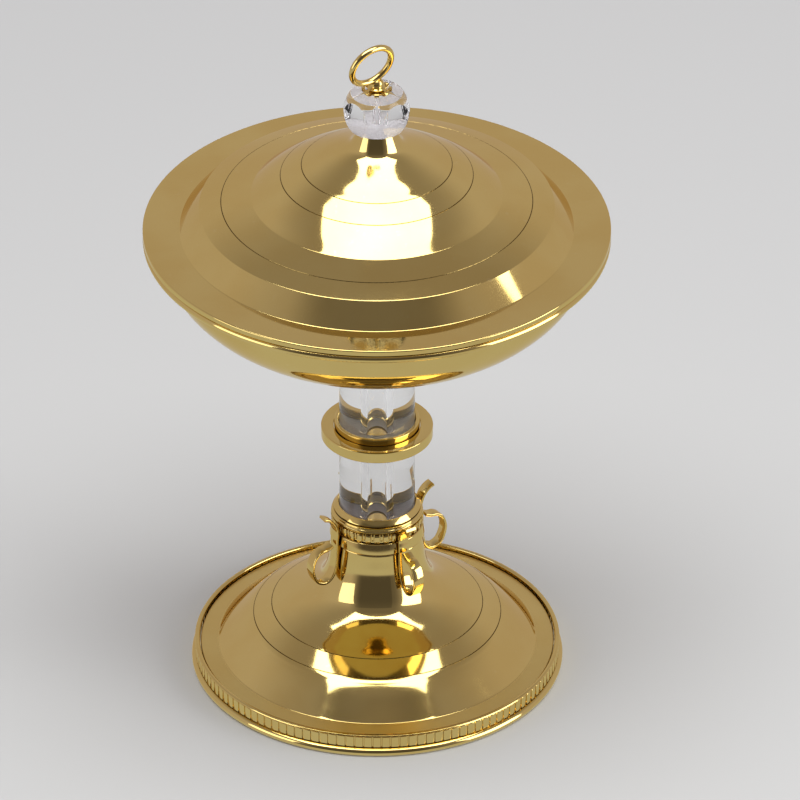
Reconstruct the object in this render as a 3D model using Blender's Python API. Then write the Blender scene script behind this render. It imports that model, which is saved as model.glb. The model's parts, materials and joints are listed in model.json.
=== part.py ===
"""Ciborium: a lidded gilt-brass bowl on two crystal columns and a bell-shaped foot.

Units in the constants are millimetres; the model is built in metres, +Z up, standing on z = 0,
with the vessel's axis on the Z axis. Outlines are lists of (radius, height) pairs.
"""
from math import acos, cos, degrees, hypot, pi, radians, sin

import bmesh
import bpy
from mathutils import Matrix, Vector

MM = 0.001
GAP = 0.3

# Foot
BEAD_RING_R = 58.6
BEAD_R = 1.38
BEAD_CENTRE_Z = 1.33
SHEET = 0.9
NECK_TOP = (14.7, 47.5)
FOOT_NECK_CURVE = [(15.2, 42.5), (15.9, 37.2), (17.6, 32.0), (20.3, 28.4), (25.6, 24.7)]
FOOT_LINE = (34.06, 20.67)
FOOT_LOWER_LINE = (39.92, 17.24)
FOOT_DOME_CURVE = [(41.9, 15.75), (44.3, 13.6), (47.2, 10.85)]
FOOT_CREASE = (51.2, 7.05)
FOOT_BORDER = (57.0, 6.5)
FOOT_HEM_Z = 1.4
GALLERY_Z = (3.0, 6.85)
GALLERY_R = (57.3, 58.1, 58.8)
GALLERY_FLUTES = 128
RIM_STRIP_R = (57.4, 59.0)
RIM_STRIP_Z = (7.15, 7.61)

# Collar and lower socket
STUD_R = 3.0
STUD_HOLE_R = STUD_R + GAP
STUD_END_Z = 39.5
LIP_R = (15.3, 14.85)
LIP_Z = (NECK_TOP[1] + GAP, 51.7)
TOOTH_RIBS = 64
TOOTH_R = (13.3, 14.4, 14.8)
TOOTH_Z = (LIP_Z[1] + GAP, 52.9, 53.2, 55.2)
SPIGOT_R = TOOTH_R[0] - GAP
CUP_UNDER_Z = 54.2
CUP_FLANGE = (14.15, 57.84)
CUP_EDGE = (12.75, 59.6)

# Crystal columns and the sockets that hold them
CRYSTAL_R = 12.15
CRYSTAL_BORE_R = 3.1
CRYSTAL_CHAMFER = 0.35
SOCKET_BORE_R = CRYSTAL_R + GAP
SLEEVE_R = 13.67
LOWER_CRYSTAL_Z = (56.0, 86.0)
SLEEVE_Z = (82.5, 90.8)
SLEEVE_WEB_Z = (LOWER_CRYSTAL_Z[1] + GAP, 88.0)
UPPER_CRYSTAL_Z = (SLEEVE_WEB_Z[1] + GAP, 117.3)
NODE_FLANGE_R = (SLEEVE_R + GAP, 17.95)
NODE_FLANGE_Z = (84.7, 88.6)
TOP_SOCKET_Z = (112.0, 120.0)
SOFT_EDGE = 0.25

# Scroll handles
HANDLE_AZIMUTHS = (32.0, 122.0, 212.0, 302.0)
RIBBON_WIDTH = 3.6
RIBBON_THICKNESS = 0.9
SCROLL = [(20.6, 59.3), (18.6, 58.3), (16.8, 56.2), (15.8, 53.2), (16.1, 50.0), (16.15, 46.0),
          (16.3, 42.0), (17.0, 38.4), (18.6, 36.1), (20.8, 35.4), (23.6, 37.0), (25.1, 41.4),
          (24.1, 45.5), (21.9, 47.3), (19.6, 47.7), (17.6, 48.6)]

# Bowl
BOWL_R = 69.0
BOWL_EQUATOR_Z = 158.0
BOWL_DEPTH = 36.0
BOWL_FLANGE = (71.5, 158.7)
BOWL_WIRE_RING_R = 73.1
BOWL_WIRE_R = 1.3
BOWL_WIRE_Z = 158.9
BOSS_R = 11.0

# Lid
LID_SHEET = 0.8
BRIM_R = 74.4
BRIM_Z = 162.4
HEM_Z = 160.5
WALL_FOOT_R = 62.7
WALL_HEAD = (56.47, 169.92)
SHOULDER_LINE = (49.48, 172.30)
LID_CREASE = (39.95, 174.84)
LID_LINE = (23.91, 185.78)
LID_NECK = (6.0, 199.2)
LID_NECK_CURVE = [(6.9, 196.9), (8.2, 194.3), (9.8, 192.7), (12.8, 191.1), (18.2, 188.6)]
LOCATING_RING_R = (66.4, 67.3)
LOCATING_RING_Z = (155.0, BRIM_Z - LID_SHEET - GAP)
SEAT_Z = 200.0

# Knob and finial
KNOB_R = 10.5
KNOB_CENTRE_Z = 205.84
KNOB_FLATS_Z = (SEAT_Z + GAP, 212.3)
KNOB_SIDE_FLAT = 8.96
KNOB_FLAT_AZIMUTHS = (42.0, 132.0, 222.0, 312.0)
KNOB_BORE_R = 0.8
KNOB_BORE_END_Z = 202.6
ROSETTE_R = (0.8, 3.9, 4.8)
ROSETTE_Z = (KNOB_FLATS_Z[1] + GAP, 213.8)
ROSETTE_LOBES = 8
FINIAL_STUD_R = 0.5
FINIAL_STUD_END_Z = 209.8
CAP_R = 2.4
CAP_CROWN = 0.25
RING_R = 7.24
RING_WIRE_R = 1.05
RING_CENTRE = (-1.6, -3.3, 224.1)
RING_NORMAL = (0.537, -0.803, -0.258)

# Facets round the axis
LARGE = 48
MEDIUM = 30
SMALL = 24

# Finishes: linear colour, metallic, roughness, transmission
GILT = ((0.72, 0.51, 0.185), 1.0, 0.08, 0.0)
CRYSTAL = ((0.97, 0.98, 0.97), 0.0, 0.02, 1.0)
STEEL = ((0.55, 0.55, 0.56), 1.0, 0.35, 0.0)


# ---- outlines ----

def arc(centre, radius, start, end, steps):
    """Points on a circle from one angle to another, both in degrees."""
    angles = [radians(start + (end - start) * i / steps) for i in range(steps + 1)]
    return [(centre[0] + radius * cos(a), centre[1] + radius * sin(a)) for a in angles]


def bezier(controls, steps):
    """Points on the Bezier curve of any degree with these control points."""
    points = []
    for i in range(steps + 1):
        level = [Vector(c) for c in controls]
        while len(level) > 1:
            level = [a.lerp(b, i / steps) for a, b in zip(level, level[1:])]
        points.append(tuple(level[0]))
    return points


def spline(points, steps):
    """Catmull-Rom curve through the points."""
    knots = [Vector(p) for p in [points[0], *points, points[-1]]]
    curve = []
    for a, b, c, d in zip(knots, knots[1:], knots[2:], knots[3:]):
        for i in range(steps):
            t = i / steps
            bend = (2 * a - 5 * b + 4 * c - d) * t * t + (3 * b - a - 3 * c + d) * t ** 3
            curve.append(tuple(b + ((c - a) * t + bend) / 2))
    return curve + [tuple(points[-1])]


def offset(points, distance):
    """The open outline moved sideways, to the right of its direction, with mitred corners."""
    moved = []
    for i, point in enumerate(points):
        ahead = Vector(points[min(i + 1, len(points) - 1)]) - Vector(point)
        behind = Vector(point) - Vector(points[max(i - 1, 0)])
        ahead = (ahead if ahead.length else behind).normalized()
        behind = (behind if behind.length else ahead).normalized()
        mitre = (ahead + behind).normalized()
        reach = distance / mitre.dot(ahead)
        moved.append((point[0] + mitre.y * reach, point[1] - mitre.x * reach))
    return moved


def sheet(points, thickness):
    """Closed outline of sheet metal that lies to the right of an open outline."""
    return points + offset(points, thickness)[::-1]


def circle(radius, count):
    """Points round the axis, for plates and toothed rings."""
    return [(radius * cos(2 * pi * i / count), radius * sin(2 * pi * i / count)) for i in range(count)]


# ---- solids ----

def finish_material(name, finish):
    colour, metallic, roughness, transmission = finish
    material = bpy.data.materials.new(name + "_finish")
    material.use_nodes = True
    shader = material.node_tree.nodes["Principled BSDF"]
    shader.inputs["Base Color"].default_value = (*colour, 1.0)
    shader.inputs["Metallic"].default_value = metallic
    shader.inputs["Roughness"].default_value = roughness
    shader.inputs["Transmission Weight"].default_value = transmission
    material.diffuse_color = (*colour, 1.0)
    return material


def add_piece(name, bm, finish, parent=None):
    """Turns the bmesh, in millimetres, into a smooth-shaded object in metres."""
    bmesh.ops.scale(bm, vec=(MM, MM, MM), verts=bm.verts)
    bmesh.ops.recalc_face_normals(bm, faces=bm.faces)
    mesh = bpy.data.meshes.new(name)
    bm.to_mesh(mesh)
    bm.free()
    mesh.shade_smooth()
    mesh.set_sharp_from_angle(angle=radians(30))
    mesh.materials.append(finish_material(name, finish))
    piece = bpy.data.objects.new(name, mesh)
    piece.parent = parent
    bpy.context.scene.collection.objects.link(piece)
    return piece


def lathe(outline, segments):
    """Solid of revolution of a closed outline; it may touch the axis."""
    bm = bmesh.new()
    verts = [bm.verts.new((r, 0.0, z)) for r, z in outline]
    edges = [bm.edges.new((a, b)) for a, b in zip(verts, verts[1:] + verts[:1])
             if a.co.x > 0 or b.co.x > 0]
    bmesh.ops.spin(bm, geom=verts + edges, axis=(0, 0, 1), cent=(0, 0, 0),
                   angle=2 * pi, steps=segments, use_merge=True)
    bmesh.ops.remove_doubles(bm, verts=bm.verts, dist=1e-4)
    return bm


def closed_loop(bm, points, z):
    verts = [bm.verts.new((x, y, z)) for x, y in points]
    return [bm.edges.new((a, b)) for a, b in zip(verts, verts[1:] + verts[:1])]


def pierced_plate(outer, inner, low, high):
    """Plate between two closed outlines in plan, from one height to another."""
    bm = bmesh.new()
    bmesh.ops.bridge_loops(bm, edges=closed_loop(bm, outer, low) + closed_loop(bm, inner, low))
    risen = bmesh.ops.extrude_face_region(bm, geom=bm.faces[:], use_keep_orig=True)
    risen_verts = [g for g in risen["geom"] if isinstance(g, bmesh.types.BMVert)]
    bmesh.ops.translate(bm, vec=(0, 0, high - low), verts=risen_verts)
    return bm


def torus(ring_r, wire_r, centre_z, segments, sides):
    return lathe(arc((ring_r, centre_z), wire_r, 0, 360, sides)[:-1], segments)


def column(z_range):
    """Crystal column with a through bore and softened ends."""
    low, high = z_range
    c = CRYSTAL_CHAMFER
    outline = [(CRYSTAL_BORE_R, low), (CRYSTAL_R - c, low), (CRYSTAL_R, low + c),
               (CRYSTAL_R, high - c), (CRYSTAL_R - c, high), (CRYSTAL_BORE_R, high)]
    return lathe(outline, MEDIUM)


# ---- foot ----

def foot_shell():
    neck = spline([NECK_TOP, *FOOT_NECK_CURVE, FOOT_LINE], 2)
    dome = [FOOT_LOWER_LINE, *FOOT_DOME_CURVE, FOOT_CREASE]
    outer = [(STUD_HOLE_R, NECK_TOP[1])] + neck + dome + [FOOT_BORDER, (FOOT_BORDER[0], FOOT_HEM_Z)]
    add_piece("foot_shell", lathe(sheet(outer, SHEET), LARGE), GILT)


def foot_base_bead():
    """Round wire with a narrow flat underneath, where the vessel stands."""
    flat = degrees(acos(BEAD_CENTRE_Z / BEAD_R))
    section = arc((BEAD_RING_R, BEAD_CENTRE_Z), BEAD_R, flat - 90, 270 - flat, 8)
    add_piece("foot_base_bead", lathe(section, LARGE), GILT)


def foot_gallery_band():
    inner, root, crest = GALLERY_R
    outer = [((crest if i % 2 else root) * x, (crest if i % 2 else root) * y)
             for i, (x, y) in enumerate(circle(1.0, 2 * GALLERY_FLUTES))]
    add_piece("foot_gallery_band", pierced_plate(outer, circle(inner, LARGE), *GALLERY_Z), GILT)


def foot_rim_strip():
    """Cover strip with a low crown."""
    (inner, outer), (low, high) = RIM_STRIP_R, RIM_STRIP_Z
    crown = [(outer - SOFT_EDGE, high - 0.1), ((inner + outer) / 2, high), (inner + SOFT_EDGE, high - 0.1)]
    add_piece("foot_rim_strip", lathe([(inner, low), (outer, low)] + crown, LARGE), GILT)


def foot_fastening():
    """Washer and hexagon nut on the stud, inside the neck."""
    washer_top = NECK_TOP[1] - SHEET - GAP
    washer_low = washer_top - 1.2
    washer = [(STUD_HOLE_R, washer_low), (7.5, washer_low), (7.5, washer_top), (STUD_HOLE_R, washer_top)]
    add_piece("foot_washer", lathe(washer, SMALL), STEEL)
    nut_top = washer_low - GAP
    nut = pierced_plate(circle(5.2, 6), circle(STUD_HOLE_R, 18), nut_top - 3.2, nut_top)
    add_piece("foot_nut", nut, STEEL)


# ---- collar ----

def collar_lip():
    (low_r, high_r), (low, high) = LIP_R, LIP_Z
    outline = [(STUD_HOLE_R, low), (low_r - SOFT_EDGE, low), (low_r, low + SOFT_EDGE),
               (high_r, high - SOFT_EDGE), (high_r - SOFT_EDGE, high), (STUD_HOLE_R, high)]
    add_piece("collar_lip", lathe(outline, MEDIUM), GILT)


def tooth_outline(crests):
    """Root and crest points in turn; the crests take their radii in turn as well."""
    root = TOOTH_R[1]
    radii = [root if i % 2 == 0 else crests[(i // 2) % 2] for i in range(2 * TOOTH_RIBS)]
    return [(r * x, r * y) for r, (x, y) in zip(radii, circle(1.0, 2 * TOOTH_RIBS))]


def collar_toothed_band():
    """Ring of ribs hanging from the top, every other one stopping short of the base."""
    inner, root, crest = TOOTH_R
    base, shoulder_low, short_low, top = TOOTH_Z
    all_ribs = tooth_outline((crest, crest))
    long_ribs = tooth_outline((crest, root))
    bm = bmesh.new()
    hole = circle(inner, MEDIUM)
    sections = ((hole, base), (long_ribs, base), (long_ribs, shoulder_low), (all_ribs, short_low),
                (all_ribs, top), (hole, top))
    levels = [closed_loop(bm, outline, z) for outline, z in sections]
    for lower, upper in zip(levels, levels[1:] + levels[:1]):
        bmesh.ops.bridge_loops(bm, edges=lower + upper)
    add_piece("collar_toothed_band", bm, GILT)


def collar_bead_ring():
    """Two turned beads, the lower one a little larger."""
    inner, low = TOOTH_R[0], TOOTH_Z[-1] + GAP
    lower_bead = arc((14.2, low + 0.6), 0.6, -75, 60, 4)
    upper_bead = arc((14.05, low + 1.6), 0.45, -50, 80, 3)
    outline = [(inner, low)] + lower_bead + upper_bead + [(inner, low + 2.04)]
    add_piece("collar_bead_ring", lathe(outline, MEDIUM), GILT)


def crystal_cup():
    """Socket of the lower crystal with a conical edge and a long threaded stud."""
    floor = LOWER_CRYSTAL_Z[0] - GAP
    outline = [(0, STUD_END_Z), (STUD_R - 0.4, STUD_END_Z), (STUD_R, STUD_END_Z + 0.4), (STUD_R, CUP_UNDER_Z),
               (SPIGOT_R, CUP_UNDER_Z), (SPIGOT_R, CUP_FLANGE[1]), CUP_FLANGE, CUP_EDGE,
               (SOCKET_BORE_R, CUP_EDGE[1]), (SOCKET_BORE_R, floor), (0, floor)]
    add_piece("crystal_cup", lathe(outline, MEDIUM), GILT)


def scroll_handle(name, azimuth):
    """Flat ribbon bent into a scroll, standing in the plane through the axis at this azimuth."""
    path = spline(SCROLL, 2)
    sides = zip(offset(path, RIBBON_THICKNESS / 2), offset(path, -RIBBON_THICKNESS / 2))
    bm = bmesh.new()
    rows = [[bm.verts.new((r, -RIBBON_WIDTH / 2, z)) for r, z in pair] for pair in sides]
    for (a, b), (c, d) in zip(rows, rows[1:]):
        bm.faces.new((a, b, d, c))
    spread = bmesh.ops.extrude_face_region(bm, geom=bm.faces[:], use_keep_orig=True)
    far_verts = [g for g in spread["geom"] if isinstance(g, bmesh.types.BMVert)]
    bmesh.ops.translate(bm, vec=(0, RIBBON_WIDTH, 0), verts=far_verts)
    add_piece(name, bm, GILT).rotation_euler.z = radians(azimuth - 90)


# ---- stem ----

def node_socket():
    """H-section sleeve: a web between two short sockets."""
    (low, high), (web_low, web_high) = SLEEVE_Z, SLEEVE_WEB_Z
    edge = SLEEVE_R - SOFT_EDGE
    outline = [(0, web_low), (SOCKET_BORE_R, web_low), (SOCKET_BORE_R, low), (edge, low),
               (SLEEVE_R, low + SOFT_EDGE), (SLEEVE_R, high - SOFT_EDGE), (edge, high),
               (SOCKET_BORE_R, high), (SOCKET_BORE_R, web_high), (0, web_high)]
    add_piece("node_socket", lathe(outline, MEDIUM), GILT)


def node_flange():
    (inner, outer), (low, high) = NODE_FLANGE_R, NODE_FLANGE_Z
    outline = [(inner, low), (outer - SOFT_EDGE, low), (outer, low + SOFT_EDGE),
               (outer, high - SOFT_EDGE), (outer - SOFT_EDGE, high), (inner, high)]
    add_piece("node_flange", lathe(outline, MEDIUM), GILT)


def upper_socket():
    (low, high), web_low = TOP_SOCKET_Z, UPPER_CRYSTAL_Z[1] + GAP
    outline = [(CRYSTAL_BORE_R, web_low), (SOCKET_BORE_R, web_low), (SOCKET_BORE_R, low), (SLEEVE_R, low),
               (SLEEVE_R, high - 1.0), (SLEEVE_R - 1.0, high), (CRYSTAL_BORE_R, high)]
    add_piece("upper_socket", lathe(outline, MEDIUM), GILT)


# ---- bowl ----

def bowl_boss():
    """Disc under the bowl with a stud that reaches into the upper crystal's bore."""
    low, high = TOP_SOCKET_Z[1] + GAP, BOWL_EQUATOR_Z - BOWL_DEPTH - GAP
    stud_r, stud_end = CRYSTAL_BORE_R - GAP, TOP_SOCKET_Z[0] + 0.5
    outline = [(0, stud_end), (stud_r, stud_end), (stud_r, low), (BOSS_R, low), (BOSS_R, high), (0, high)]
    add_piece("bowl_boss", lathe(outline, SMALL), GILT)


def bowl_shell():
    """Half ellipse with a narrow flange turned outwards."""
    angles = [radians(90 * i / 9) for i in range(10)]
    outer = [(BOWL_R * sin(a), BOWL_EQUATOR_Z - BOWL_DEPTH * cos(a)) for a in angles] + [BOWL_FLANGE]
    inner = offset(outer, -SHEET)
    inner[0] = (0, outer[0][1] + SHEET)
    add_piece("bowl_shell", lathe(outer + inner[::-1], LARGE), GILT)


def bowl_rim_wire():
    add_piece("bowl_rim_wire", torus(BOWL_WIRE_RING_R, BOWL_WIRE_R, BOWL_WIRE_Z, LARGE, 8), GILT)


# ---- lid ----

def lid_shell(lid):
    neck = spline([LID_NECK, *LID_NECK_CURVE, LID_LINE], 2)
    dome = bezier([LID_LINE, (33.4, 180.7), LID_CREASE], 4)
    steps = [SHOULDER_LINE, WALL_HEAD, (WALL_FOOT_R, BRIM_Z), (BRIM_R - SOFT_EDGE, BRIM_Z)]
    hem = [(BRIM_R, BRIM_Z - SOFT_EDGE), (BRIM_R, HEM_Z)]
    add_piece("lid_shell", lathe(sheet(neck + dome[1:] + steps + hem, LID_SHEET), LARGE), GILT, lid)


def lid_locating_ring(lid):
    (inner, outer), (low, high) = LOCATING_RING_R, LOCATING_RING_Z
    outline = [(inner, low), (outer - SOFT_EDGE, low), (outer, low + SOFT_EDGE), (outer, high), (inner, high)]
    add_piece("lid_locating_ring", lathe(outline, LARGE), GILT, lid)


def knob_seat(lid):
    """Plug in the neck of the lid, under the crystal."""
    rest = LID_NECK[1] + GAP
    plug_r = LID_NECK[0] - LID_SHEET - GAP
    outline = [(0, rest - 4.0), (plug_r, rest - 4.0), (plug_r, rest), (LID_NECK[0], rest),
               (LID_NECK[0], SEAT_Z), (0, SEAT_Z)]
    add_piece("knob_seat", lathe(outline, SMALL), GILT, lid)


def crystal_knob(lid):
    """Ball with flat top and bottom, a narrow blind bore, and four flats ground on its sides."""
    ends = [degrees(acos((z - KNOB_CENTRE_Z) / KNOB_R)) for z in KNOB_FLATS_Z]
    ball = arc((0, KNOB_CENTRE_Z), KNOB_R, 90 - ends[0], 90 - ends[1], 10)
    outline = [(0, ball[0][1])] + ball + [(KNOB_BORE_R, ball[-1][1]), (KNOB_BORE_R, KNOB_BORE_END_Z),
                                          (0, KNOB_BORE_END_Z)]
    bm = lathe(outline, MEDIUM)
    for azimuth in KNOB_FLAT_AZIMUTHS:
        away = Vector((sin(radians(azimuth)), -cos(radians(azimuth)), 0))
        cut = bmesh.ops.bisect_plane(bm, geom=bm.verts[:] + bm.edges[:] + bm.faces[:],
                                     plane_co=away * KNOB_SIDE_FLAT, plane_no=away, clear_outer=True)
        rim = [g for g in cut["geom_cut"] if isinstance(g, bmesh.types.BMEdge)]
        bmesh.ops.contextual_create(bm, geom=rim)
    add_piece("crystal_knob", bm, CRYSTAL, lid)


def finial_rosette(lid):
    hole, root, crest = ROSETTE_R
    count = 6 * ROSETTE_LOBES
    lobes = []
    for x, y in circle(1.0, count):
        petal = abs(cos(ROSETTE_LOBES / 2 * Vector((x, y)).angle_signed(Vector((1, 0)))))
        r = root + (crest - root) * petal ** 0.5
        lobes.append((r * x, r * y))
    add_piece("finial_rosette", pierced_plate(lobes, circle(hole, 12), *ROSETTE_Z), GILT, lid)


def finial_cap(lid):
    """Turned cap on the rosette, with a short stud in the knob's bore."""
    base = ROSETTE_Z[1] + GAP
    outline = [(0, FINIAL_STUD_END_Z), (FINIAL_STUD_R, FINIAL_STUD_END_Z), (FINIAL_STUD_R, base), (2.7, base),
               (2.9, base + 0.3), (1.9, base + 0.8), (1.9, base + 1.1)]
    dome = [(r, base + 1.4 + z * CAP_CROWN) for r, z in arc((0, 0), CAP_R, 0, 90, 4)]
    add_piece("finial_cap", lathe(outline + dome, SMALL), GILT, lid)


def finial_ring(lid):
    """Finger ring that leans back over the cap."""
    ring = add_piece("finial_ring", torus(RING_R, RING_WIRE_R, 0, MEDIUM, 8), GILT, lid)
    ring.location = Vector(RING_CENTRE) * MM
    ring.rotation_euler = Vector(RING_NORMAL).to_track_quat("Z", "Y").to_euler()


def build():
    for old in list(bpy.data.objects):
        bpy.data.objects.remove(old, do_unlink=True)
    for make in (foot_shell, foot_base_bead, foot_gallery_band, foot_rim_strip, foot_fastening,
                 collar_lip, collar_toothed_band, collar_bead_ring, crystal_cup):
        make()
    for number, azimuth in enumerate(HANDLE_AZIMUTHS, start=1):
        scroll_handle(f"scroll_handle_{number}", azimuth)
    add_piece("lower_crystal", column(LOWER_CRYSTAL_Z), CRYSTAL)
    add_piece("upper_crystal", column(UPPER_CRYSTAL_Z), CRYSTAL)
    for make in (node_socket, node_flange, upper_socket, bowl_boss, bowl_shell, bowl_rim_wire):
        make()
    lid = bpy.data.objects.new("lid_group", None)
    bpy.context.scene.collection.objects.link(lid)
    for make in (lid_shell, lid_locating_ring, knob_seat, crystal_knob, finial_rosette, finial_cap,
                 finial_ring):
        make(lid)


build()
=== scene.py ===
"""Looks of a lidded vessel of gilt brass and clear crystal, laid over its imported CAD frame.

Turned pieces take their outlines from the CAD nodes, get rounded corners and scored lines, and are
spun again with fine facets. Sizes are in metres; angles named azimuth run from the front (-Y) to +X.
"""
import json
from math import atan2, cos, degrees, hypot, pi, radians, sin, tan

import bmesh
import bpy
from mathutils import Matrix, Vector


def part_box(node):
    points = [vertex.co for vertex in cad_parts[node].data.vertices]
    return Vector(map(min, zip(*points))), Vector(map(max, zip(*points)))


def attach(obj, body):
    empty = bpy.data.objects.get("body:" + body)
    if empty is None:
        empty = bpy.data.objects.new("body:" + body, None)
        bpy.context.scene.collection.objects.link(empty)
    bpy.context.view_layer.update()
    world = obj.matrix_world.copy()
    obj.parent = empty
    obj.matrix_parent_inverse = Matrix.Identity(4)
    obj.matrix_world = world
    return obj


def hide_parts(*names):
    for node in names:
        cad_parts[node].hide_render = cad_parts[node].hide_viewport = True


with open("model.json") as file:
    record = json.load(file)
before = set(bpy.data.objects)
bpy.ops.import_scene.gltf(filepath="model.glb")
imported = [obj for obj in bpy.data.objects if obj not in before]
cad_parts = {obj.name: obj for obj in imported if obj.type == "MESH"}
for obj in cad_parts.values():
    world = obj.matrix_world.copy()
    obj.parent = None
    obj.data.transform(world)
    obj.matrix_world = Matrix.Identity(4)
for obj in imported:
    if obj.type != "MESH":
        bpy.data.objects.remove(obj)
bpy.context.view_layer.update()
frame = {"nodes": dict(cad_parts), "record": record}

SCENE = bpy.context.scene
BODIES = frame["record"]["behaviour"]["bodies"]
BODY_OF = {node: body for body, nodes in BODIES.items() for node in nodes}

# Facets round the axis, and how outlines are refined
LARGE_FACETS = 256
SMALL_FACETS = 128
KNOB_FACETS = 192
CAP_FACETS = 96
DISC_FACETS = 48
WIRE_FACETS = 28
CREASE_DEG = 20.0
CURVE_STEPS = 5
CORNER_STEPS = 5

# Scored lines, as shares of their shell's radius, and the size of their V section
LID_LINES = (0.3214, 0.4113, 0.6651)
FOOT_LINES = (0.5975, 0.7004)
LINE_WIDTH = 0.00030
LINE_DEPTH = 0.00018

# Where the satin border of the foot begins, as a share of the shell's radius
FOOT_BORDER = 0.905


def point_between(a, b, share):
    return (a[0] + (b[0] - a[0]) * share, a[1] + (b[1] - a[1]) * share)


def distance(a, b):
    return hypot(b[0] - a[0], b[1] - a[1])


# ---- outlines of the CAD's turned pieces ----

def section_links(node):
    """Neighbours of each point (radius, height) where the XZ half-plane at +X cuts a turned node."""
    mesh = frame["nodes"][node].data
    place = {v.index: (round(v.co.x, 6), round(v.co.z, 6)) for v in mesh.vertices
             if abs(v.co.y) < 1e-6 and v.co.x > -1e-6}
    links = {}
    for edge in mesh.edges:
        a, b = (place.get(i) for i in edge.vertices)
        if a and b and a != b:
            links.setdefault(a, set()).add(b)
            links.setdefault(b, set()).add(a)
    return links


def meridian(node):
    """(points, is_loop): the cut outline of a turned node, anticlockwise."""
    links = section_links(node)
    ends = sorted((p for p in links if len(links[p]) == 1), key=lambda p: p[1])
    start = ends[0] if ends else min(links)
    points = [start]
    step = min(links[start])
    while step != start:
        points.append(step)
        onward = links[step] - {points[-2]}
        if not onward:
            break
        step = onward.pop()
    if ends:
        points = [(0.0, points[0][1])] + [p for p in points if p[0] > 0] + [(0.0, points[-1][1])]
    area = sum(a[0] * b[1] - b[0] * a[1] for a, b in zip(points, points[1:] + points[:1]))
    return (points if area > 0 else points[::-1]), not ends


def turn(a, b, c):
    """How far the outline turns at b, in degrees, to the left positive."""
    angle = atan2(c[1] - b[1], c[0] - b[0]) - atan2(b[1] - a[1], b[0] - a[0])
    return degrees((angle + pi) % (2 * pi) - pi)


def curve_through(points):
    """Catmull-Rom curve through the points of one smooth run."""
    if len(points) < 3:
        return list(points)
    knots = [Vector(p) for p in [points[0], *points, points[-1]]]
    curve = []
    for a, b, c, d in zip(knots, knots[1:], knots[2:], knots[3:]):
        for i in range(CURVE_STEPS):
            t = i / CURVE_STEPS
            bend = (2 * a - 5 * b + 4 * c - d) * t * t + (3 * b - a - 3 * c + d) * t ** 3
            curve.append(tuple(b + ((c - a) * t + bend) / 2))
    return curve + [tuple(points[-1])]


def trimmed(run, head, tail):
    """The run without these lengths at its two ends."""
    travelled = [0.0]
    for a, b in zip(run, run[1:]):
        travelled.append(travelled[-1] + distance(a, b))
    low, high = head, travelled[-1] - tail
    kept = []
    for i, (a, b) in enumerate(zip(run, run[1:])):
        start, end = travelled[i], travelled[i + 1]
        if start <= low < end:
            kept.append(point_between(a, b, (low - start) / (end - start)))
        elif low < start < high:
            kept.append(a)
        if start < high <= end:
            kept.append(point_between(a, b, (high - start) / (end - start)))
    return kept


def run_length(run):
    return sum(distance(a, b) for a, b in zip(run, run[1:]))


def smooth_runs(points, is_loop):
    """Curves between the sharp corners of an outline; a loop's first curve starts at one of them."""
    count = len(points)
    ring = range(count) if is_loop else range(1, count - 1)
    corners = [i for i in ring if abs(turn(points[i - 1], points[i], points[(i + 1) % count])) > CREASE_DEG]
    if is_loop:
        points = points[corners[0]:] + points[:corners[0]] + [points[corners[0]]]
        corners = [i - corners[0] for i in corners] + [count]
    else:
        corners = [0] + corners + [count - 1]
    return [curve_through(points[a:b + 1]) for a, b in zip(corners, corners[1:])]


def corner_cuts(runs, is_loop, radius):
    """The length that the round corner before each run takes off it."""
    cuts = []
    for i, run in enumerate(runs):
        before = runs[i - 1]
        bend = abs(turn(before[-2], run[0], run[1]))
        room = 0.4 * min(run_length(run), run_length(before))
        cuts.append(min(radius * tan(radians(bend) / 2), room))
    if not is_loop:
        cuts[0] = 0.0
    return cuts


def corner_points(entry, corner, leaving):
    """Points of the curve that rounds a corner, between its two ends."""
    shares = [k / CORNER_STEPS for k in range(1, CORNER_STEPS)]
    return [point_between(point_between(entry, corner, t), point_between(corner, leaving, t), t)
            for t in shares]


def rounded(points, is_loop, radius):
    """The outline with its gentle corners made curves and its sharp ones given a small radius."""
    runs = smooth_runs(points, is_loop)
    cuts = corner_cuts(runs, is_loop, radius)
    kept = [trimmed(run, head, tail) for run, head, tail in zip(runs, cuts, cuts[1:] + cuts[:1])]
    outline = []
    for i, run in enumerate(kept):
        if cuts[i]:
            outline += corner_points(kept[i - 1][-1], runs[i][0], run[0])
        outline += run
    return outline


def scored(outline, radius):
    """The outline with a V line cut in its upper side at this radius."""
    crossings = []
    for i, (a, b) in enumerate(zip(outline, outline[1:])):
        if min(a[0], b[0]) <= radius < max(a[0], b[0]):
            share = (radius - a[0]) / (b[0] - a[0])
            crossings.append((point_between(a, b, share), i))
    bottom, index = max(crossings, key=lambda c: c[0][1])
    a, b = outline[index], outline[index + 1]
    along = (Vector(b) - Vector(a)).normalized()
    inward = Vector((-along.y, along.x)) * LINE_DEPTH
    half = along * LINE_WIDTH / 2
    centre = Vector(bottom)
    line = [tuple(centre - half), tuple(centre + inward), tuple(centre + half)]
    before = [p for p in outline[:index + 1] if distance(p, bottom) > LINE_WIDTH]
    behind = [p for p in outline[index + 1:] if distance(p, bottom) > LINE_WIDTH]
    return before + line + behind


# ---- meshes ----

def make_piece(name, bm, node, material, sharp_deg=35.0):
    """Turns the bmesh into a shown piece that stands for the node and moves with its body."""
    bmesh.ops.recalc_face_normals(bm, faces=bm.faces)
    mesh = bpy.data.meshes.new(name)
    bm.to_mesh(mesh)
    bm.free()
    mesh.shade_smooth()
    mesh.set_sharp_from_angle(angle=radians(sharp_deg))
    mesh.materials.append(material)
    piece = bpy.data.objects.new(name, mesh)
    SCENE.collection.objects.link(piece)
    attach(piece, BODY_OF[node])
    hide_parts(node)
    return piece


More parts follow.
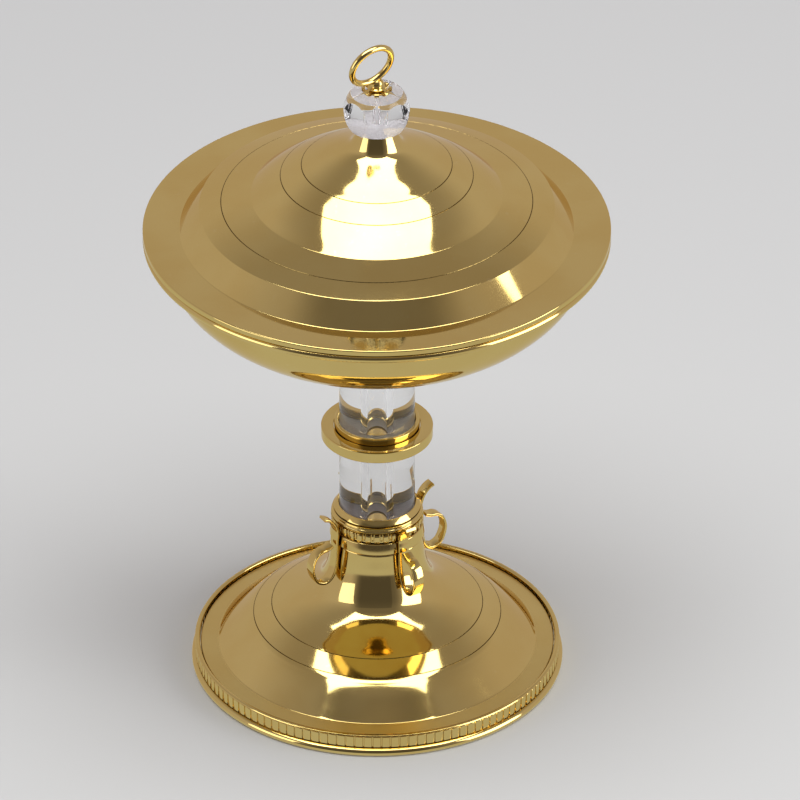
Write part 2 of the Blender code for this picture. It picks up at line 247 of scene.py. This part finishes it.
def spun(outline, is_loop, facets):
    """The outline of (radius, height) points, spun once round the Z axis."""
    bm = bmesh.new()
    verts = [bm.verts.new((max(r, 0.0), 0.0, z)) for r, z in outline]
    pairs = list(zip(verts, verts[1:])) + ([(verts[-1], verts[0])] if is_loop else [])
    edges = [bm.edges.new(pair) for pair in pairs]
    bmesh.ops.spin(bm, geom=verts + edges, axis=(0, 0, 1), cent=(0, 0, 0), angle=2 * pi, steps=facets,
                   use_merge=True)
    bmesh.ops.remove_doubles(bm, verts=bm.verts, dist=1e-7)
    return bm


def turned_piece(node, material, radius=0.0003, facets=SMALL_FACETS, lines=()):
    """Fine copy of a turned node with rounded corners and scored lines."""
    points, is_loop = meridian(node)
    outline = rounded(points, is_loop, radius)
    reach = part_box(node)[1].x
    for share in lines:
        outline = scored(outline, share * reach)
    piece = make_piece(node + "_fine", spun(outline, is_loop, facets), node, material)
    # Each scored line gets painted shade: a dark material on the faces of its V.
    for share in lines:
        band_material(piece, GROOVE_PAINTED_SHADE, share * reach - LINE_WIDTH / 2, share * reach + LINE_WIDTH / 2)
    return piece


def band_material(piece, material, near, far):
    """Another material for the faces that look up between two distances from the axis: a finish, or the
    painted shade of a scored line.
    """
    piece.data.materials.append(material)
    for face in piece.data.polygons:
        if face.normal.z > 0.1 and near < hypot(face.center.x, face.center.y) < far:
            face.material_index = len(piece.data.materials) - 1


def grind_foot(piece, material):
    """Gives the flat underside of a crystal a matt finish, whose tint is painted light and shade."""
    piece.data.materials.append(material)
    low = min(v.co.z for v in piece.data.vertices)
    for face in piece.data.polygons:
        if face.normal.z < -0.99 and face.center.z < low + 1e-5:
            face.material_index = 1


def wire_section(wire, centre=(0.0, 0.0)):
    """Round section of a wire ring."""
    angles = [2 * pi * i / WIRE_FACETS for i in range(WIRE_FACETS)]
    return [(centre[0] + wire * cos(a), centre[1] + wire * sin(a)) for a in angles]


def wire_piece(node, material):
    """Ring of round wire that lies level, sized from the node's box."""
    low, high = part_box(node)
    wire = (high.z - low.z) / 2
    section = wire_section(wire, (high.x - wire, high.z - wire))
    return make_piece(node + "_fine", spun(section, True, LARGE_FACETS), node, material)


def plan_point(radius, angle):
    """Point (x, y) at this distance and azimuth, in radians."""
    return (radius * sin(angle), -radius * cos(angle))


# ---- materials ----

class Nodes:
    """Short way to write the node tree of a material or a world."""

    def __init__(self, owner):
        owner.use_nodes = True
        self.owner = owner
        self.tree = owner.node_tree
        self.shader = self.tree.nodes.get("Principled BSDF")

    def add(self, kind, settings=None, **inputs):
        node = self.tree.nodes.new(kind)
        for key, value in (settings or {}).items():
            setattr(node, key, value)
        for key, value in inputs.items():
            self.put(node, key.replace("_", " "), value)
        return node

    def put(self, node, socket, value):
        if isinstance(value, bpy.types.NodeSocket):
            self.tree.links.new(value, node.inputs[socket])
        else:
            node.inputs[socket].default_value = value

    def place(self):
        return self.add("ShaderNodeTexCoord").outputs["Object"]

    def math(self, operation, a, b=0.0):
        node = self.add("ShaderNodeMath", {"operation": operation})
        self.put(node, 0, a)
        self.put(node, 1, b)
        return node.outputs[0]

    def noise(self, vector, scale, detail=2.0, roughness=0.5):
        return self.add("ShaderNodeTexNoise", Vector=vector, Scale=scale, Detail=detail,
                        Roughness=roughness).outputs["Fac"]

    def ramp(self, value, low, high, out_low=0.0, out_high=1.0):
        node = self.add("ShaderNodeMapRange", {"clamp": True, "interpolation_type": "SMOOTHSTEP"})
        for index, number in enumerate((value, low, high, out_low, out_high)):
            self.put(node, index, number)
        return node.outputs["Result"]

    def blend(self, share, first, second):
        node = self.add("ShaderNodeMix", {"data_type": "RGBA"})
        for index, value in ((0, share), (6, first), (7, second)):
            self.put(node, index, value)
        return node.outputs[2]

    def mix(self, share, first, second):
        node = self.add("ShaderNodeMix", {"data_type": "FLOAT"})
        for index, value in ((0, share), (2, first), (3, second)):
            self.put(node, index, value)
        return node.outputs[0]

    def radius_and_height(self):
        """The same value all round each circle about the Z axis, for marks left by spinning."""
        parts = self.add("ShaderNodeSeparateXYZ", Vector=self.place()).outputs
        across = self.math("SQRT", self.math("ADD", self.math("MULTIPLY", parts["X"], parts["X"]),
                                             self.math("MULTIPLY", parts["Y"], parts["Y"])))
        return self.add("ShaderNodeCombineXYZ", X=across, Y=parts["Z"]).outputs[0]


# Colours of the gilding: fresh, handled, rubbed, and seen at a grazing angle
GOLD = (0.73, 0.565, 0.205, 1.0)
GOLD_WARM = (0.70, 0.520, 0.175, 1.0)
GOLD_WORN = (0.79, 0.650, 0.320, 1.0)
GOLD_EDGE = (0.95, 0.88, 0.72, 1.0)


def gilt_material(name, marks="spun", polish=0.045):
    """Polished gilding: faint polishing marks, clouding by handling, and paler high spots."""
    m = Nodes(bpy.data.materials.new(name))
    place = m.place()
    cloud = m.ramp(m.noise(place, 38.0, 3.0), 0.35, 0.68)
    tone = m.blend(cloud, GOLD, GOLD_WARM)
    rubbed = m.ramp(m.noise(place, 420.0, 4.0, 0.6), 0.62, 0.80, 0.0, 0.35)
    m.put(m.shader, "Base Color", m.blend(rubbed, tone, GOLD_WORN))
    m.shader.inputs["Metallic"].default_value = 1.0
    m.shader.inputs["Specular Tint"].default_value = GOLD_EDGE
    if marks == "spun":
        lines = m.noise(m.radius_and_height(), 5200.0, 3.0, 0.65)
    else:
        lines = m.noise(place, 2600.0, 3.0, 0.65)
    haze = m.ramp(m.noise(place, 95.0, 5.0, 0.6), 0.42, 0.75, 0.0, 0.035)
    roughness = m.math("ADD", m.math("ADD", haze, polish), m.math("MULTIPLY", lines, 0.03))
    m.put(m.shader, "Roughness", roughness)
    fine = m.add("ShaderNodeBump", Strength=0.10, Distance=0.00001, Height=lines)
    swell = m.add("ShaderNodeBump", Strength=0.22, Distance=0.0001, Height=m.noise(place, 60.0, 1.0),
                  Normal=fine.outputs[0])
    m.put(m.shader, "Normal", swell.outputs[0])
    return m.owner


def groove_shade_material(name):
    """Painted shade at the bottom of a scored line: dark gilding, mottled at random in tone and roughness.
    """
    m = Nodes(bpy.data.materials.new(name))
    shade_mottle = m.ramp(m.noise(m.place(), 900.0, 3.0), 0.35, 0.7)
    m.put(m.shader, "Base Color", m.blend(shade_mottle, (0.34, 0.24, 0.08, 1.0), (0.20, 0.15, 0.06, 1.0)))
    m.shader.inputs["Metallic"].default_value = 1.0
    m.put(m.shader, "Roughness", m.ramp(shade_mottle, 0.0, 1.0, 0.12, 0.4))
    return m.owner


def crystal_material(name, bend=1.52):
    """Clear polished lead crystal with faint inner cords and handling haze on its skin."""
    m = Nodes(bpy.data.materials.new(name))
    place = m.place()
    tint = m.ramp(m.noise(place, 55.0), 0.3, 0.7)
    m.put(m.shader, "Base Color", m.blend(tint, (0.985, 0.985, 0.99, 1.0), (0.975, 0.98, 0.98, 1.0)))
    m.shader.inputs["Transmission Weight"].default_value = 1.0
    m.shader.inputs["IOR"].default_value = bend
    m.put(m.shader, "Roughness", m.ramp(m.noise(place, 160.0, 4.0), 0.5, 0.8, 0.0, 0.02))
    cords = m.add("ShaderNodeBump", Strength=0.12, Distance=0.0001, Height=m.noise(place, 120.0, 1.0))
    m.put(m.shader, "Normal", cords.outputs[0])
    return m.owner


def ground_material(name, painted_tone):
    """Crystal left matt from the grinding wheel, where it stands in its seat; its given tone is painted
    light and shade, standing in for what is seen through the crystal there.
    """
    m = Nodes(bpy.data.materials.new(name))
    grain = m.noise(m.place(), 1800.0, 3.0, 0.6)
    darker = tuple(0.8 * c for c in painted_tone[:3]) + (1.0,)
    # The given tone is painted light and shade, varied at random by the grain.
    m.put(m.shader, "Base Color", m.blend(m.ramp(grain, 0.35, 0.65), painted_tone, darker))
    m.shader.inputs["Transmission Weight"].default_value = 0.25
    m.shader.inputs["IOR"].default_value = 1.52
    m.put(m.shader, "Roughness", m.ramp(grain, 0.3, 0.7, 0.45, 0.7))
    rough = m.add("ShaderNodeBump", Strength=0.3, Distance=0.00001, Height=grain)
    m.put(m.shader, "Normal", rough.outputs[0])
    return m.owner


def steel_material(name):
    """Plain turned steel, dulled, with cutting marks."""
    m = Nodes(bpy.data.materials.new(name))
    cut = m.noise(m.radius_and_height(), 2400.0, 2.0)
    dulled = m.ramp(m.noise(m.place(), 300.0, 4.0), 0.4, 0.7)
    m.put(m.shader, "Base Color", m.blend(dulled, (0.46, 0.45, 0.44, 1.0), (0.30, 0.27, 0.24, 1.0)))
    m.shader.inputs["Metallic"].default_value = 1.0
    m.put(m.shader, "Roughness", m.ramp(cut, 0.3, 0.7, 0.28, 0.5))
    m.put(m.shader, "Normal", m.add("ShaderNodeBump", Strength=0.4, Distance=0.00002, Height=cut).outputs[0])
    return m.owner


SPUN_GILT = gilt_material("spun_gilt")
SATIN_GILT = gilt_material("satin_gilt", "spun", 0.30)
# Painted shade for the bottoms of the scored lines.
GROOVE_PAINTED_SHADE = groove_shade_material("groove_painted_shade")
PLAIN_GILT = gilt_material("plain_gilt", "plain", 0.06)
CRYSTAL = crystal_material("crystal")
KNOB_CRYSTAL = crystal_material("knob_crystal", 1.46)
# Painted light: a pale grey-lilac on the knob's ground underside, standing in for pale background seen
# through it in place of dark refraction.
KNOB_GROUND_PAINTED_LIGHT = ground_material("knob_ground_painted_light", (0.86, 0.85, 0.88, 1.0))
# Painted shade: a dark grey-lilac on the lower crystal's ground base, standing in for the dark seen through
# it.
LOWER_GROUND_PAINTED_SHADE = ground_material("lower_ground_painted_shade", (0.56, 0.52, 0.57, 1.0))
# Painted reflection: a tan on the upper crystal's ground base, standing in for gilding seen through it.
UPPER_GROUND_PAINTED_REFLECTION = ground_material("upper_ground_painted_reflection", (0.86, 0.81, 0.70, 1.0))
STEEL = steel_material("steel")


# ---- turned and spun pieces ----

def turned_pieces():
    """Every piece that is round about the axis, each with its finish."""
    foot = turned_piece("foot_shell", SPUN_GILT, 0.0004, LARGE_FACETS, FOOT_LINES)
    band_material(foot, SATIN_GILT, FOOT_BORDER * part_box("foot_shell")[1].x, 1.0)
    turned_piece("bowl_shell", SPUN_GILT, 0.0005, LARGE_FACETS)
    turned_piece("lid_shell", SPUN_GILT, 0.0004, LARGE_FACETS, LID_LINES)
    turned_piece("foot_rim_strip", SPUN_GILT, 0.0002, LARGE_FACETS)
    turned_piece("lid_locating_ring", SPUN_GILT, 0.0003, LARGE_FACETS)
    for node in ("collar_lip", "collar_bead_ring", "crystal_cup", "node_socket", "node_flange",
                 "upper_socket", "bowl_boss", "knob_seat"):
        turned_piece(node, SPUN_GILT, 0.0002)
    # The ground bases carry painted shade (lower) and a painted reflection (upper).
    for node, ground in (("lower_crystal", LOWER_GROUND_PAINTED_SHADE), ("upper_crystal", UPPER_GROUND_PAINTED_REFLECTION)):
        grind_foot(turned_piece(node, CRYSTAL, 0.0003), ground)
    turned_piece("foot_washer", STEEL, 0.0002)
    wire_piece("foot_base_bead", SPUN_GILT)
    wire_piece("bowl_rim_wire", SPUN_GILT)


# ---- gallery and collar ----

# One tab of the gallery: (place across it, fullness) points, and the groove between two tabs
FLUTES = 128
FLUTE_SECTION = ((-0.5, 0.0), (-0.44, 0.10), (-0.40, 0.75), (-0.34, 1.0), (0.34, 1.0), (0.40, 0.75),
                 (0.44, 0.10))
GROOVE_DEPTH = 0.00045
INNER_GROOVE_SHARE = 0.2
TAB_EASE = 0.00015

# Ribs of the toothed band, in turn long and short
RIBS = 64
RIB_DEPTH = 0.0007
LONG_RIB_WIDTH = 0.00165
SHORT_RIB_WIDTH = 0.00070
RIB_SINK = 0.0002
RIB_MARGIN = 0.0001


def bridge_rings(bm, rings, closed):
    """Quads between vertex rings of equal length."""
    pairs = list(zip(rings, rings[1:])) + ([(rings[-1], rings[0])] if closed else [])
    for low, high in pairs:
        for i in range(len(low)):
            j = (i + 1) % len(low)
            bm.faces.new((low[i], low[j], high[j], high[i]))


def gallery_band():
    """Upright strip of narrow tabs, grooved on both faces."""
    outline, _ = meridian("foot_gallery_band")
    low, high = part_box("foot_gallery_band")
    inner, crest = min(p[0] for p in outline), high.x
    rows = ((low.z, -TAB_EASE, crest), (low.z + TAB_EASE, 0.0, crest), (high.z - TAB_EASE, 0.0, crest),
            (high.z, -TAB_EASE, crest), (high.z, 0.0, inner), (low.z, 0.0, inner))
    bm = bmesh.new()
    rings = []
    for z, shift, face in rows:
        ring = []
        for i in range(FLUTES):
            for place, fullness in FLUTE_SECTION:
                angle = 2 * pi * (i + place) / FLUTES
                sunk = GROOVE_DEPTH * (1.0 - fullness)
                radius = face + shift - sunk if face == crest else face + INNER_GROOVE_SHARE * sunk
                ring.append(bm.verts.new((*plan_point(radius, angle), z)))
        rings.append(ring)
    bridge_rings(bm, rings, True)
    make_piece("foot_gallery_band_fine", bm, "foot_gallery_band", PLAIN_GILT)


def block(bm, azimuth, radius, size, z_range, bevel):
    """Small bevelled block on the side of a ring; size is (width, depth)."""
    low, high = z_range
    place = Matrix.Rotation(azimuth, 4, "Z") @ Matrix.Translation((0, -radius, (low + high) / 2))
    shape = Matrix.Diagonal((size[0], size[1], high - low, 1.0))
    made = bmesh.ops.create_cube(bm, size=1.0, matrix=place @ shape)
    edges = list({e for v in made["verts"] for e in v.link_edges})
    bmesh.ops.bevel(bm, geom=edges, offset=bevel, segments=2, affect="EDGES", profile=0.5)


def toothed_band():
    """Core ring with ribs in two lengths, the short and narrow ones between the long ones."""
    low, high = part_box("collar_toothed_band")
    outline, _ = meridian("collar_toothed_band")
    inner, crest = min(p[0] for p in outline), high.x
    root = crest - RIB_DEPTH
    core = [(inner, low.z), (root, low.z), (root, high.z), (inner, high.z)]
    bm = spun(rounded(core, True, 0.0001), True, SMALL_FACETS)
    short_low = low.z + 0.3 * (high.z - low.z)
    for i in range(RIBS):
        long_rib = i % 2 == 0
        width = LONG_RIB_WIDTH if long_rib else SHORT_RIB_WIDTH
        reach = crest if long_rib else crest - RIB_MARGIN
        heights = (low.z + RIB_MARGIN if long_rib else short_low, high.z - RIB_MARGIN)
        middle = (root - RIB_SINK + reach) / 2
        block(bm, 2 * pi * i / RIBS, middle, (width, reach - root + RIB_SINK), heights, 0.00012)
    make_piece("collar_toothed_band_fine", bm, "collar_toothed_band", PLAIN_GILT)


# Centre line of a scroll handle in mm, from the low inner corner of its box in its own plane
SCROLL = [(5.25, 24.35), (3.25, 23.35), (1.45, 21.25), (0.45, 18.25), (0.75, 15.05), (0.80, 11.05),
          (0.95, 7.05), (1.65, 3.45), (3.25, 1.15), (5.45, 0.45), (8.25, 2.05), (9.75, 6.45),
          (8.75, 10.55), (6.55, 12.35), (4.25, 12.75), (2.25, 13.65)]
SCROLL_THICKNESS = 0.0009
SCROLL_EDGE = 0.00018


def ribbon(bm, path, width, thickness, edge):
    """Closed flat band with rounded edges, swept along a path of (radius, height) at azimuth 0."""
    corners = ((width / 2 - edge, thickness / 2 - edge), (edge - width / 2, thickness / 2 - edge),
               (edge - width / 2, edge - thickness / 2), (width / 2 - edge, edge - thickness / 2))
    rings = []
    for i, point in enumerate(path):
        along = (Vector(path[min(i + 1, len(path) - 1)]) - Vector(path[max(i - 1, 0)])).normalized()
        across = Vector((-along.y, along.x))
        ring = []
        for k, (side, out) in enumerate(corners):
            for step in range(3):
                angle = pi / 2 * k + pi / 4 * step
                place = Vector(point) + across * (out + edge * sin(angle))
                ring.append(bm.verts.new((side + edge * cos(angle), -place.x, place.y)))
        rings.append(ring)
    bridge_rings(bm, rings, False)
    bm.faces.new(rings[0][::-1])
    bm.faces.new(rings[-1])


def scroll_handle(node):
    """Gilt ribbon scroll, set in the plane through the axis and the middle of its CAD node."""
    mesh = frame["nodes"][node].data
    middle = sum((v.co for v in mesh.vertices), Vector()) / len(mesh.vertices)
    azimuth = atan2(middle.x, -middle.y)
    outward = Vector((*plan_point(1.0, azimuth), 0.0))
    sideways = Vector((cos(azimuth), sin(azimuth), 0.0))
    inner = min(v.co.dot(outward) for v in mesh.vertices)
    low = min(v.co.z for v in mesh.vertices)
    width = 2 * max(v.co.dot(sideways) for v in mesh.vertices)
    path = curve_through([(inner + r / 1000, low + z / 1000) for r, z in SCROLL])
    bm = bmesh.new()
    ribbon(bm, path, width, SCROLL_THICKNESS, SCROLL_EDGE)
    bmesh.ops.rotate(bm, verts=bm.verts, cent=(0, 0, 0), matrix=Matrix.Rotation(azimuth, 3, "Z"))
    make_piece(node + "_fine", bm, node, PLAIN_GILT)


# ---- knob and finial ----

# Distance of the knob's flats from the axis, as a share of its radius, and where they face
KNOB_FLAT_SHARE = 0.8533
KNOB_FLAT_AZIMUTHS = (42.0, 132.0, 222.0, 312.0)

# Centre line of a leaf in mm: (distance from the axis, height above the disc's underside)
LEAVES = 8
LEAF_WIDTH = 0.0015
LEAF_THICKNESS = 0.00026
LEAF_EDGE = 0.00010
LEAF_CURL = [(1.2, 0.25), (2.3, 0.15), (3.4, 0.15), (4.3, 0.42), (4.72, 0.95), (4.4, 1.42), (3.9, 1.35),
             (3.75, 0.98), (4.02, 0.78)]


def crystal_knob():
    """Ball of crystal with ground flats; only its rims are crisp."""
    points, is_loop = meridian("crystal_knob")
    bm = spun(rounded(points, is_loop, 0.0002), is_loop, KNOB_FACETS)
    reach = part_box("crystal_knob")[1].x * KNOB_FLAT_SHARE
    for azimuth in KNOB_FLAT_AZIMUTHS:
        away = Vector((*plan_point(1.0, radians(azimuth)), 0.0))
        cut = bmesh.ops.bisect_plane(bm, geom=bm.verts[:] + bm.edges[:] + bm.faces[:], plane_co=away * reach,
                                     plane_no=away, clear_outer=True)
        rim = [g for g in cut["geom_cut"] if isinstance(g, bmesh.types.BMEdge)]
        bmesh.ops.contextual_create(bm, geom=rim)
    # The ground underside takes a pale tint of painted light.
    grind_foot(make_piece("crystal_knob_fine", bm, "crystal_knob", KNOB_CRYSTAL, 15.0), KNOB_GROUND_PAINTED_LIGHT)


def finial_rosette():
    """Eight curled leaves round a small pierced disc."""
    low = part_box("finial_rosette")[0]
    disc = [(0.0008, low.z), (0.0030, low.z), (0.0030, low.z + 0.0005), (0.0008, low.z + 0.0007)]
    bm = spun(rounded(disc, True, 0.0002), True, DISC_FACETS)
    path = curve_through([(r / 1000, low.z + z / 1000) for r, z in LEAF_CURL])
    for i in range(LEAVES):
        leaf = bmesh.new()
        ribbon(leaf, path, LEAF_WIDTH, LEAF_THICKNESS, LEAF_EDGE)
        swing = Matrix.Rotation(2 * pi * i / LEAVES, 3, "Z")
        bmesh.ops.rotate(leaf, verts=leaf.verts, cent=(0, 0, 0), matrix=swing)
        mesh = bpy.data.meshes.new("leaf")
        leaf.to_mesh(mesh)
        leaf.free()
        bm.from_mesh(mesh)
        bpy.data.meshes.remove(mesh)
    make_piece("finial_rosette_fine", bm, "finial_rosette", PLAIN_GILT)


def finial_cap():
    """Turned cap that swells round the foot of the ring where the two are soldered."""
    low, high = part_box("finial_cap")
    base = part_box("finial_rosette")[1].z + 0.0003
    stud, reach = 0.0005, high.x
    outline = [(0.0, low.z), (stud, low.z), (stud, base), (reach - 0.0002, base), (reach, base + 0.0003),
               (0.0019, base + 0.0008), (0.0018, base + 0.0011), (0.0023, base + 0.0014),
               (0.0022, base + 0.0021), (0.0016, base + 0.0029), (0.0008, base + 0.0033),
               (0.0, base + 0.0034)]
    cap = spun(rounded(outline, False, 0.00015), False, CAP_FACETS)
    make_piece("finial_cap_fine", cap, "finial_cap", PLAIN_GILT)


def finial_ring():
    """Finger ring; its centre, lean and sizes are read off the CAD node."""
    points = [v.co for v in frame["nodes"]["finial_ring"].data.vertices]
    centre = sum(points, Vector()) / len(points)
    arms = [p - centre for p in points]
    first = max(arms, key=lambda v: v.length)
    second = max(arms, key=lambda v: v.cross(first).length)
    axis = first.cross(second).normalized()
    wire = max(abs(v.dot(axis)) for v in arms)
    ring = max(v.length for v in arms) - wire
    bm = spun(wire_section(wire, (ring, 0.0)), True, SMALL_FACETS)
    bm.transform(Matrix.Translation(centre) @ axis.to_track_quat("Z", "Y").to_matrix().to_4x4())
    make_piece("finial_ring_fine", bm, "finial_ring", PLAIN_GILT)


def plain_nut():
    """The nut stays as it is in CAD, with eased edges and a steel finish."""
    nut = frame["nodes"]["foot_nut"]
    nut.data.materials.clear()
    nut.data.materials.append(STEEL)
    weld = nut.modifiers.new("weld", "WELD")
    weld.merge_threshold = 1e-6
    ease = nut.modifiers.new("ease", "BEVEL")
    ease.width = 0.0002
    ease.segments = 2


# ---- studio ----

AIM = Vector((0.00736, 0.0, 0.09745))
CAMERA_ELEVATION = 32.3
CAMERA_DISTANCE = 4.55
CAMERA_LENS = 640.0

# Brightness and tint of the room; its floor and walls meet where a direction's Z is FLOOR_EDGE
FLOOR_EDGE = -0.34
FLOOR_LIGHT = 0.60
BACKDROP_LIGHT = 0.66
WALL_TINT = (1.0, 0.90, 0.95, 1.0)
NEUTRAL = (1.0, 1.0, 1.0, 1.0)


def camera():
    data = bpy.data.cameras.new("camera")
    data.lens = CAMERA_LENS
    data.clip_end = 50.0
    view = bpy.data.objects.new("camera", data)
    SCENE.collection.objects.link(view)
    tilt = radians(CAMERA_ELEVATION)
    back = Vector((0.0, -cos(tilt), sin(tilt)))
    view.location = AIM + back * CAMERA_DISTANCE
    view.rotation_euler = back.to_track_quat("Z", "Y").to_euler()
    SCENE.camera = view


def floor():
    bm = bmesh.new()
    bmesh.ops.create_grid(bm, x_segments=1, y_segments=1, size=6.0)
    mesh = bpy.data.meshes.new("floor")
    bm.to_mesh(mesh)
    bm.free()
    m = Nodes(bpy.data.materials.new("floor"))
    cloud = m.noise(m.place(), 3.0)
    m.put(m.shader, "Base Color", m.blend(cloud, (0.490, 0.502, 0.496, 1.0), (0.496, 0.507, 0.502, 1.0)))
    m.shader.inputs["Roughness"].default_value = 0.9
    m.shader.inputs["Specular IOR Level"].default_value = 0.1
    mesh.materials.append(m.owner)
    ground = bpy.data.objects.new("floor", mesh)
    ground.visible_glossy = False
    SCENE.collection.objects.link(ground)


def softbox(name, azimuth, elevation, reach, size, radiance):
    """Rectangular light that faces the vessel from this direction."""
    data = bpy.data.lights.new(name, "AREA")
    data.shape = "RECTANGLE"
    data.size, data.size_y = size
    data.energy = radiance * pi * size[0] * size[1]
    lamp = bpy.data.objects.new(name, data)
    away = Vector((*plan_point(cos(radians(elevation)), radians(azimuth)), sin(radians(elevation))))
    lamp.location = Vector((0.0, 0.0, 0.1)) + away * reach
    lamp.rotation_euler = away.to_track_quat("Z", "Y").to_euler()
    lamp.visible_camera = False
    SCENE.collection.objects.link(lamp)


def front_brightness(m, parts, level):
    """The dark side of the room behind the camera, darker still in an opening across its middle."""
    across = m.math("DIVIDE", parts["X"], level)
    opening = m.math("MULTIPLY", m.ramp(across, -0.73, -0.71), m.ramp(across, 0.49, 0.51, 1.0, 0.0))
    opening = m.math("MULTIPLY", opening, m.ramp(parts["Z"], 0.64, 0.66, 1.0, 0.0))
    return m.math("MULTIPLY", m.ramp(parts["Z"], 0.2, 0.75, 0.15, 0.20),
                  m.ramp(opening, 0.0, 1.0, 1.0, 0.66))


def surroundings():
    """Pale room with a dark side behind the camera; plain pale where the camera sees it."""
    m = Nodes(bpy.data.worlds.new("studio"))
    SCENE.world = m.owner
    direction = m.add("ShaderNodeVectorMath", {"operation": "NORMALIZE"},
                      Vector=m.add("ShaderNodeTexCoord").outputs["Generated"]).outputs[0]
    parts = m.add("ShaderNodeSeparateXYZ", Vector=direction).outputs
    level = m.math("SQRT", m.math("SUBTRACT", 1.0001, m.math("MULTIPLY", parts["Z"], parts["Z"])))
    frontness = m.math("DIVIDE", m.math("MULTIPLY", parts["Y"], -1.0), level)
    below_top = m.ramp(parts["Z"], 0.82, 0.92, 1.0, 0.0)
    front_share = m.math("MULTIPLY", m.ramp(frontness, 0.45, 0.85), below_top)
    walls = m.ramp(parts["Z"], 0.45, 0.85, 0.56, 0.34)
    room = m.mix(front_share, walls, front_brightness(m, parts, level))
    floor_share = m.ramp(parts["Z"], FLOOR_EDGE - 0.02, FLOOR_EDGE + 0.02, 1.0, 0.0)
    around = m.mix(floor_share, room, FLOOR_LIGHT)
    seen = m.add("ShaderNodeLightPath").outputs["Is Camera Ray"]
    background = m.tree.nodes["Background"]
    m.put(background, "Strength", m.mix(seen, around, BACKDROP_LIGHT))
    m.put(background, "Color", m.blend(floor_share, WALL_TINT, NEUTRAL))


def studio():
    camera()
    floor()
    surroundings()
    softbox("top_softbox", 0.0, 83.2, 1.5, (1.72, 1.10), 4.5)
    softbox("left_softbox", -63.0, 8.5, 1.6, (0.88, 1.13), 1.7)
    softbox("right_softbox", 71.0, 11.0, 1.6, (1.12, 1.44), 4.0)
    SCENE.view_settings.view_transform = "Standard"


def build():
    turned_pieces()
    gallery_band()
    toothed_band()
    for number in range(1, 5):
        scroll_handle(f"scroll_handle_{number}")
    crystal_knob()
    finial_rosette()
    finial_cap()
    finial_ring()
    plain_nut()
    studio()


build()
